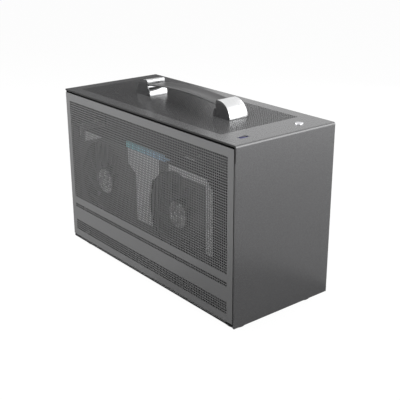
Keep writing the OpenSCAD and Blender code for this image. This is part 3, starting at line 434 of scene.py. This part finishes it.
def grow(piece, tree, values, material, smooth=None):  # runs a geometry tree on a piece
    tool = piece.modifiers.new("growth", "NODES")
    tool.node_group = tree
    for item in tree.interface.items_tree:
        if item.in_out == "INPUT" and item.name in values:
            tool[item.identifier] = values[item.name]
    return settle(piece, material, smooth)


# Perforated sheets. The lines of a grid fall on the edges of the openings, so every second
# cell of every second row is an opening and is taken out.

openings = dict(pitch=3.05 * mm, width=2.2 * mm, weld=0.01 * mm)
roundingGuard = 0.0001  # keeps a division that comes out whole from falling just below it


def makeZoneTree():
    sizes = ("Low U", "High U", "Low V", "High V", "Start U", "Start V", "Pitch", "Width")
    tree, maker, given = geometryTree("perforatedZone", {
        **{size: "Float" for size in sizes}, "Columns": "Int", "Rows": "Int"})
    columns = given["Columns"] * 2 + 2
    rows = given["Rows"] * 2 + 2
    grid = maker.add("GeometryNodeMeshGrid", {}, {"Vertices X": columns, "Vertices Y": rows})
    index = maker.add("GeometryNodeInputIndex")

    def whole(value):
        return value.maths("FLOOR", value)

    def line(number, count, axis):
        inner = (whole((number - 1) / 2) * given["Pitch"] + (number - 1) % 2 * given["Width"]
                 + given["Start " + axis])
        first, last = number < 0.5, number > count - 1.5
        return first * given["Low " + axis] + last * given["High " + axis] + (1 - first) * (1 - last) * inner

    spot = maker.add("ShaderNodeCombineXYZ", {}, {
        "X": line(whole(index / rows + roundingGuard), columns, "U"),
        "Y": line(index % rows, rows, "V")})
    placed = maker.add("GeometryNodeSetPosition", {}, {"Geometry": grid, "Position": spot})
    oddRow = index % (rows - 1) % 2 > 0.5
    oddColumn = whole(index / (rows - 1) + roundingGuard) % 2 > 0.5
    cut = maker.add("GeometryNodeDeleteGeometry", {"domain": "FACE"}, {
        "Geometry": placed, "Selection": oddRow * oddColumn})
    maker.add("NodeGroupOutput", {}, {0: cut})
    return tree


def makeSheetTree(name, zones):  # zones side by side, joined, thickened and closed
    tree, maker, given = geometryTree(name, {"Thickness": "Float", "Finish": "Material"})
    parts = [maker.add("GeometryNodeGroup", {"node_tree": zoneTree}, zone) for zone in zones]

    def join(pieces):
        together = maker.add("GeometryNodeJoinGeometry", {}, {0: pieces})
        return maker.add("GeometryNodeMergeByDistance", {}, {
            "Geometry": together, "Distance": openings["weld"]})

    flat = join(parts)
    raised = maker.add("GeometryNodeExtrudeMesh", {}, {
        "Mesh": flat, "Offset Scale": given["Thickness"], "Individual": False})
    back = maker.add("GeometryNodeFlipFaces", {}, {"Mesh": flat})
    real = maker.add("GeometryNodeRealizeInstances", {}, {"Geometry": join([raised, back])})
    dressed = maker.add("GeometryNodeSetMaterial", {}, {"Geometry": real, "Material": given["Finish"]})
    maker.add("NodeGroupOutput", {}, {0: dressed})
    return tree


zoneTree = makeZoneTree()


def zoneOf(edgesU, edgesV, fieldU, fieldV):  # a zone's edges and the field of openings in it
    pitch, width = openings["pitch"], openings["width"]

    def fit(field):
        count = round((field[1] - field[0] + pitch - width) / pitch)
        length = (count - 1) * pitch + width
        return count, (field[0] + field[1] - length) / 2

    columns, startU = fit(fieldU)
    rows, startV = fit(fieldV)
    return {"Low U": edgesU[0], "High U": edgesU[1], "Low V": edgesV[0], "High V": edgesV[1],
            "Start U": startU, "Start V": startV, "Columns": columns, "Rows": rows,
            "Pitch": pitch, "Width": width}


def perforated(name, zones, thickness, matrix, material):
    piece = meshPiece(name, lambda shape: None, material)
    grow(piece, makeSheetTree(name, zones), {"Thickness": thickness, "Finish": material}, material)
    piece.data.transform(matrix)
    if matrix.determinant() < 0:
        piece.data.flip_normals()
    return piece


# The body's rear, near, lower corner and its size, from the frame
shellLow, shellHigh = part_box("front_top_shell")
corner = Vector(shellLow)
body = shellHigh - shellLow

sidePanel = dict(
    thickness=0.6 * mm, flange=7 * mm, rearBorder=10 * mm, frontBorder=13.5 * mm, footGap=2 * mm,
    mainLow=62.5 * mm, mainDrop=15 * mm, rowLow=46.3 * mm, rowHigh=53.0 * mm,
    bandLow=13.75 * mm, bandHigh=28.0 * mm, flangeRear=15 * mm, flangeFront=12 * mm, flangeEnd=10 * mm,
    edge=0.3 * mm,
)


def meshSide(nodeName, bodyName, far):
    s = sidePanel
    low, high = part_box(nodeName)
    t = s["thickness"]
    edgesU = (low.x - corner.x, high.x - corner.x)
    fieldU = (s["rearBorder"], body.x - s["frontBorder"])
    splits = (low.z - corner.z + s["footGap"], (s["bandHigh"] + s["rowLow"]) / 2,
              (s["rowHigh"] + s["mainLow"]) / 2, high.z - corner.z)
    fields = ((s["bandLow"], s["bandHigh"]), (s["rowLow"], s["rowHigh"]),
              (s["mainLow"], body.z - s["mainDrop"]))
    zones = [zoneOf(edgesU, splits[i:i + 2], fieldU, fields[i]) for i in range(3)]
    inward = -1 if far else 1
    outer = high.y if far else low.y
    upright = Matrix((
        (1, 0, 0, corner.x), (0, 0, -inward, outer + inward * t), (0, 1, 0, corner.z), (0, 0, 0, 1)))
    panel = perforated(nodeName + "_mesh", zones, t, upright, materials["meshPaintAndShade"])
    y0, y1 = sorted((outer + inward * t, outer + inward * (t + s["flange"])))

    def flanges(shape):
        for z in (low.z, high.z - t):
            addBlock(shape, (corner.x + s["flangeRear"], y0, z), (high.x - s["flangeFront"], y1, z + t))
        addBlock(shape, (high.x - t, y0, low.z + s["flangeEnd"]), (high.x, y1, high.z - s["flangeEnd"]))

    rims = bevelled(meshPiece("rims", flanges, materials["meshPaintAndShade"]), materials["meshPaintAndShade"], s["edge"], 1)
    mount(gather(panel, [rims]), bodyName, "mesh_paint", nodeName)
    print(nodeName, "has", len(panel.data.polygons), "faces")


meshSide("side_panel_near", "near_cover", False)
meshSide("side_panel_far", "far_cover", True)

foldedSheet = dict(
    thickness=2 * mm, rearBorder=16 * mm, frontBorder=43 * mm, sideBorder=16 * mm, plainFrom=38 * mm,
    bend=0.5 * mm, lip=12 * mm, lipInset=1.2 * mm, lipEnd=4 * mm, footLipEnd=15 * mm, panThickness=1.5 * mm,
    portGap=0.15 * mm, buttonRadius=4.75 * mm, buttonGap=0.3 * mm, holeSides=72, foldSteps=10, edge=0.3 * mm,
)


def foldedShell():
    s = foldedSheet
    shellFinish = materials["shellPaintAndShade"]
    t = s["thickness"]
    plainStart = body.x - s["plainFrom"]
    zone = zoneOf((0.0, plainStart), (0.0, body.y), (s["rearBorder"], body.x - s["frontBorder"]),
                  (s["sideBorder"], body.y - s["sideBorder"]))
    lift = Matrix.Translation((corner.x, corner.y, corner.z + body.z - t))
    top = perforated("front_top_shell_mesh", [zone], t, lift, shellFinish)

    def quarter(radius):  # a fold's points, from the top round to the front
        cx, cz = body.x - t - s["bend"], body.z - t - s["bend"]
        angles = [math.pi / 2 * (1 - i / s["foldSteps"]) for i in range(s["foldSteps"] + 1)]
        return [(cx + radius * math.cos(a), cz + radius * math.sin(a)) for a in angles]

    outline = [(plainStart, body.z), *quarter(t + s["bend"]), (body.x, 0), (body.x - t, 0),
               *reversed(quarter(s["bend"])), (plainStart, body.z - t)]

    def plain(shape):
        near, distant = [[shape.verts.new((corner.x + x, corner.y + y, corner.z + z)) for x, z in outline]
                         for y in (0, body.y)]
        for i, vert in enumerate(near):
            shape.faces.new((near[i - 1], vert, distant[i], distant[i - 1]))
        shape.faces.new(near)
        shape.faces.new(distant)
        bmesh.ops.recalc_face_normals(shape, faces=shape.faces)

    def cutters(shape):
        portLow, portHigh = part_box("port_shell")
        buttonLow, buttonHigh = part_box("power_button")
        z0, z1 = corner.z + body.z - 3 * t, corner.z + body.z + t
        gap = s["portGap"]
        addBlock(shape, (portLow.x - gap, portLow.y - gap, z0), (portHigh.x + gap, portHigh.y + gap, z1))
        middle = (buttonLow + buttonHigh) / 2
        middle.z = (z0 + z1) / 2
        radius = s["buttonRadius"] + s["buttonGap"]
        bmesh.ops.create_cone(shape, cap_ends=True, segments=s["holeSides"], radius1=radius, radius2=radius,
                              depth=z1 - z0, matrix=Matrix.Translation(middle))

    def lips(shape):  # the rear one hangs from the top, the foot's lies on the base pan
        under = corner.z + body.z - t
        rear = corner.x + s["lipInset"]
        addBlock(shape, (rear, corner.y + s["lipEnd"], under - s["lip"]),
                 (rear + t, corner.y + body.y - s["lipEnd"], under))
        inside = corner.x + body.x - t
        foot = corner.z + s["panThickness"]
        addBlock(shape, (inside - s["lip"], corner.y + s["footLipEnd"], foot),
                 (inside, corner.y + body.y - s["footLipEnd"], foot + t))

    front = meshPiece("frontSheet", plain, shellFinish)
    knife = meshPiece("openings", cutters, shellFinish)
    tool = front.modifiers.new("cut", "BOOLEAN")
    tool.object = knife
    settle(front, shellFinish)
    bpy.data.objects.remove(knife)
    folded = bevelled(meshPiece("lips", lips, shellFinish), shellFinish, s["edge"], 1)
    mount(gather(top, [front, folded]), "case", "shell_paint", "front_top_shell")
    print("folded sheet has", len(top.data.polygons), "faces")


foldedShell()


# Solids whose shape is right get their edges broken, as the real edges are

clean = dict(weld=0.002 * mm, flat=1, smooth=32)  # merge distance, then degrees


def softened(nodeName, finish, slot, width):
    shape = bmesh.new()
    shape.from_mesh(nodes[nodeName].data)
    bmesh.ops.remove_doubles(shape, verts=shape.verts, dist=clean["weld"])
    bmesh.ops.dissolve_limit(shape, angle_limit=math.radians(clean["flat"]), verts=shape.verts,
                             edges=shape.edges)
    mesh = bpy.data.meshes.new(nodeName + "_soft")
    shape.to_mesh(mesh)
    shape.free()
    piece = bpy.data.objects.new(nodeName + "_soft", mesh)
    bpy.context.scene.collection.objects.link(piece)
    bevelled(piece, materials[finish], width, smooth=clean["smooth"])
    return mount(piece, nodes[nodeName]["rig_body"], slot, nodeName)


brokenEdges = {  # node: finish, slot, width of the broken edge
    "handle_cap_rear": ("chrome", "chrome", 0.35 * mm),
    "handle_cap_front": ("chrome", "chrome", 0.35 * mm),
    "handle_foot_rear": ("glossBlack", "gloss_black", 0.3 * mm),
    "handle_foot_front": ("glossBlack", "gloss_black", 0.3 * mm),
    "power_button": ("buttonMetal", "button_metal", 0.2 * mm),
    "card_shroud": ("shroudPlastic", "shroud_plastic", 0.5 * mm),
    "mains_inlet": ("nylon", "nylon", 0.3 * mm),
}
soft = {nodeName: softened(nodeName, *look) for nodeName, look in brokenEdges.items()}
print("edges broken on", len(brokenEdges), "pieces")

# Each end of the handle also gets a rounded chrome nose under the strap and black cheeks

handleEnd = dict(reach=5 * mm, height=10.2 * mm, steps=14, cheek=0.8 * mm, edge=0.2 * mm)


def slab(name, outline, low, high, material):  # an outline in x and z, as thick as from low to high in y
    def fill(shape):
        rows = [[shape.verts.new((x, y, z)) for x, z in outline] for y in (low, high)]
        for i in range(len(outline)):
            shape.faces.new((rows[0][i - 1], rows[0][i], rows[1][i], rows[1][i - 1]))
        for row in rows:
            shape.faces.new(row)
        bmesh.ops.recalc_face_normals(shape, faces=shape.faces)

    return bevelled(meshPiece(name, fill, material), material, handleEnd["edge"], 1)


def finishHandleEnd(end, inward):
    e = handleEnd
    low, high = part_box("handle_cap_" + end)
    face = high.x if inward > 0 else low.x
    angles = [math.pi / 2 * i / e["steps"] for i in range(e["steps"] + 1)]
    nose = [(face, low.z)] + [(face + inward * e["reach"] * math.cos(a), low.z + e["height"] * math.sin(a))
                              for a in angles]
    points = [(v.co.x, v.co.z) for v in nodes["handle_cap_" + end].data.vertices]
    side = [points[i] for i in convex_hull_2d(points)]
    gather(soft["handle_cap_" + end], [slab("nose", nose, low.y, high.y, materials["chrome"])])
    cheeks = [slab("cheek", outline, y, y + e["cheek"], materials["glossBlack"])
              for outline in (nose, side) for y in (low.y - e["cheek"], high.y)]
    gather(soft["handle_foot_" + end], cheeks)
    print("handle end dressed:", end)


finishHandleEnd("rear", 1)
finishHandleEnd("front", -1)

# The lit strip stands up from the card's top edge as a light guide

lightGuide = dict(height=6.5 * mm, depth=2.2 * mm, edge=0.2 * mm)


def raiseLightGuide():
    low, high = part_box("card_light_strip")

    def fill(shape):
        addBlock(shape, low, high)
        addBlock(shape, (low.x, low.y, high.z),
                 (high.x, low.y + lightGuide["depth"], high.z + lightGuide["height"]))

    bar = bevelled(meshPiece("card_light_guide", fill, materials["litStrip"]), materials["litStrip"],
                   lightGuide["edge"], 1)
    mount(bar, nodes["card_light_strip"]["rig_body"], "light_strip", "card_light_strip")
    print("light guide raised")


raiseLightGuide()


# The strap: a rounded section with two raised edges, swept along the strap's bow

strap = dict(thickness=2.6 * mm, edge=0.9 * mm, rib=3.2 * mm, groove=0.35 * mm, slope=0.6 * mm, steps=72,
             edgeSteps=4, endReach=0.2 * mm, weld=0.005 * mm, smooth=40)


def sweepStrap():
    s = strap
    low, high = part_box("handle_strap")
    middle = (low + high) / 2
    halfWidth = (high.y - low.y) / 2
    halfLength = (high.x - low.x) / 2
    solid = nodes["handle_strap"].data.vertices
    endTop = max(v.co.z for v in solid if abs(v.co.x - low.x) < s["endReach"])
    rise = high.z - endTop
    outerRadius = (halfLength ** 2 + rise ** 2) / (2 * rise)
    centreZ = high.z - outerRadius

    def rounded(level, turn):  # a corner of the section on its near side, from the edge inwards
        angles = [math.pi / 2 * i / s["edgeSteps"] for i in range(s["edgeSteps"] + 1)]
        return [(s["edge"] * (1 - math.cos(a)) - halfWidth, level - turn * s["edge"] * (1 - math.sin(a)))
                for a in angles]

    over = rounded(0.0, 1) + [(s["rib"] - halfWidth, 0.0), (s["rib"] + s["slope"] - halfWidth, -s["groove"])]
    over += [(-y, level) for y, level in reversed(over)]
    under = rounded(-s["thickness"], -1)
    under = [(-y, level) for y, level in under] + list(reversed(under))
    section = over + under

    def sweep(shape):
        spread = math.asin(halfLength / outerRadius)
        rings = []
        for i in range(s["steps"] + 1):
            turn = spread * (2 * i / s["steps"] - 1)
            rings.append([shape.verts.new((
                middle.x + (outerRadius + level) * math.sin(turn), middle.y + y,
                centreZ + (outerRadius + level) * math.cos(turn))) for y, level in section])
        for first, second in zip(rings, rings[1:]):
            for i in range(len(section)):
                shape.faces.new((first[i - 1], first[i], second[i], second[i - 1]))
        shape.faces.new(rings[0])
        shape.faces.new(rings[-1])
        bmesh.ops.remove_doubles(shape, verts=shape.verts, dist=s["weld"])
        bmesh.ops.recalc_face_normals(shape, faces=shape.faces)

    piece = meshPiece("handle_strap_bow", sweep, materials["strapRubber"])
    settle(piece, materials["strapRubber"], s["smooth"])
    mount(piece, "case", "strap_rubber", "handle_strap")
    print("strap swept, bow radius", round(outerRadius / mm), "mm")


sweepStrap()

view = dict(place=(0.75017, -0.58453, 0.4506), yaw=2.466126, pitch=-0.358755, roll=-0.003968,  # radians
            lens=71.816, sensor=36, nearClip=0.01)


def aimCamera():
    lens = bpy.data.cameras.new("view")
    lens.lens = view["lens"]
    lens.sensor_width = view["sensor"]
    lens.clip_start = view["nearClip"]
    camera = bpy.data.objects.new("view", lens)
    bpy.context.scene.collection.objects.link(camera)
    flat = math.cos(view["pitch"])
    ahead = Vector((flat * math.cos(view["yaw"]), flat * math.sin(view["yaw"]), math.sin(view["pitch"])))
    right = ahead.cross((0, 0, 1)).normalized()
    up = right.cross(ahead)
    turn = Matrix((right, up, -ahead)).transposed() @ Matrix.Rotation(view["roll"], 3, "Z")
    camera.matrix_world = Matrix.Translation(view["place"]) @ turn.to_4x4()
    bpy.context.scene.camera = camera


studio = dict(
    fill=0.04, floorSize=6.0, floorColour=(0.42, 0.42, 0.42),
    floorGlow=0.86, floorWhite=1.13, floorSheen=0.05,
    lamps={
        "left": dict(place=(-0.55, -0.45, 0.65), aim=(-0.1, -0.07, 0.13), size=1.4, power=12.5),
        "leftFront": dict(place=(-0.45, -1.15, 0.55), aim=(-0.1, -0.07, 0.13), size=0.8, power=3.7),
        "front": dict(place=(1.0, 0.48, 0.42), aim=(0.15, 0, 0.12), size=1.3, power=16.5),
        "behind": dict(place=(-0.1, 1.1, 0.40), aim=(0.1, 0.05, 0.2), size=0.7, power=5),
    },
    floorCard=dict(centre=(0.2, -0.1), radius=0.2, lift=0.5 * mm, corners=48),
    flag=dict(distance=1.3, fromAngle=140, toAngle=180, foot=1 * mm, height=0.8),
    cardColour=(0.10, 0.10, 0.10),
)


def lightStudio():
    for name, lamp in studio["lamps"].items():
        light = bpy.data.lights.new(name, "AREA")
        light.energy = lamp["power"]
        light.size = lamp["size"]
        holder = bpy.data.objects.new(name, light)
        holder.location = lamp["place"]
        holder.rotation_euler = (Vector(lamp["aim"]) - holder.location).to_track_quat("-Z", "Y").to_euler()
        bpy.context.scene.collection.objects.link(holder)
    world = bpy.data.worlds.new("studio")
    world.use_nodes = True
    bpy.context.scene.world = world
    maker = Maker(world.node_tree)
    ray = maker.add("ShaderNodeLightPath", output="Is Camera Ray")
    mirrored = ray.maths("MAXIMUM", ray.other("Is Glossy Ray"), ray.other("Is Transmission Ray"))
    seen = ray.maths("MAXIMUM", ray, mirrored)
    shade = maker.add("ShaderNodeBackground", {}, {
        "Color": (1, 1, 1, 1), "Strength": seen * (1 - studio["fill"]) + studio["fill"]})
    maker.add("ShaderNodeOutputWorld", {}, {"Surface": shade})

    def flat(shape):
        half = studio["floorSize"] / 2
        shape.faces.new([shape.verts.new((x * half, y * half, 0))
                         for x, y in ((-1, -1), (1, -1), (1, 1), (-1, 1))])

    material = bpy.data.materials.new("floorWhite")
    material.use_nodes = True
    maker = Maker(material.node_tree)
    ray = maker.add("ShaderNodeLightPath", output="Is Camera Ray")
    matt = maker.add("ShaderNodeBsdfDiffuse", {}, {"Color": (*studio["floorColour"], 1)})
    glow = maker.add("ShaderNodeEmission", {}, {"Strength": studio["floorWhite"]})
    seen = ray * studio["floorGlow"] + ray.other("Is Glossy Ray") * studio["floorSheen"]
    both = maker.add("ShaderNodeMixShader", {}, {0: seen, 1: matt, 2: glow})
    maker.add("ShaderNodeOutputMaterial", {}, {"Surface": both})
    meshPiece("floor", flat, material)

    dark = bpy.data.materials.new("cardBlack")
    dark.use_nodes = True
    maker = Maker(dark.node_tree)
    matt = maker.add("ShaderNodeBsdfDiffuse", {}, {"Color": (*studio["cardColour"], 1)})
    maker.add("ShaderNodeOutputMaterial", {}, {"Surface": matt})

    def upright(shape):  # behind the object, for the dark half of the top's reflection
        flag = studio["flag"]
        ends = [math.radians(flag[end]) for end in ("fromAngle", "toAngle")]
        foot = [(flag["distance"] * math.cos(a), flag["distance"] * math.sin(a)) for a in ends]
        shape.faces.new([shape.verts.new((*foot[i], z)) for i, z in (
            (0, flag["foot"]), (1, flag["foot"]), (1, flag["height"]), (0, flag["height"]))])

    def lying(shape):  # before the near front corner, where both faces get darker towards the floor
        card = studio["floorCard"]
        angles = [2 * math.pi * i / card["corners"] for i in range(card["corners"])]
        shape.faces.new([shape.verts.new((
            card["centre"][0] + card["radius"] * math.cos(a),
            card["centre"][1] + card["radius"] * math.sin(a), card["lift"])) for a in angles])

    for name, fill in (("flag", upright), ("floorCard", lying)):  # seen in reflections alone
        card = meshPiece(name, fill, dark)
        card.visible_camera = False
        card.visible_diffuse = False
        card.visible_shadow = False


aimCamera()
lightStudio()
print("camera aimed, studio lit by", len(studio["lamps"]), "lamps")
bpy.context.scene.view_settings.view_transform = "Standard"
print("scene ready")
